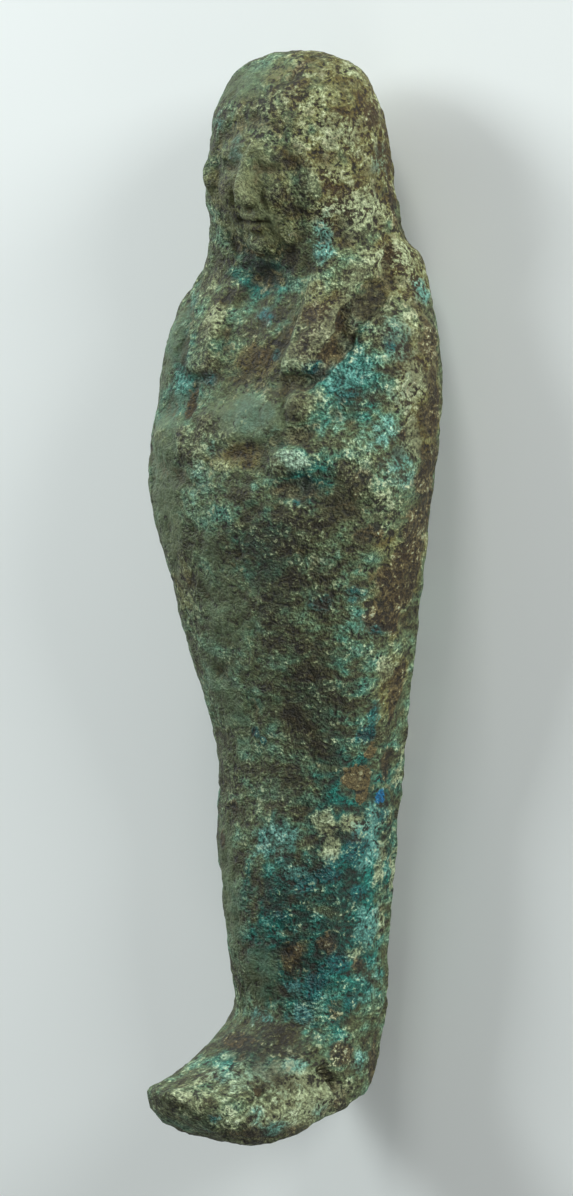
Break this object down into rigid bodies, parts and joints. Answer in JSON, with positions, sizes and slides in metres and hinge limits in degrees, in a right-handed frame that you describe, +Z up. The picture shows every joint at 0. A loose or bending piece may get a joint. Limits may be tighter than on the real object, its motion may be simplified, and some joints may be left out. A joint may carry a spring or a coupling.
{
  "type": "ushabti figurine",
  "caption": "Small mummiform ushabti in a plain wig and shroud, arms folded on the chest and feet forward, in worn blue-green glazed faience, lying on its back.",
  "frame": {"origin": "under the middle of the figure's box, on the surface it lies on", "axes": "+X to the figure's left, +Y from the feet to the crown, +Z up out of the chest"},
  "size_m": [0.0354, 0.119, 0.029],
  "materials": {
    "faience": "worn blue-green glaze over a cream body, mostly matt, with tan and brown dirt"
  },
  "bodies": {
    "root": {"ushabti": "faience"}
  },
  "joints": []
}
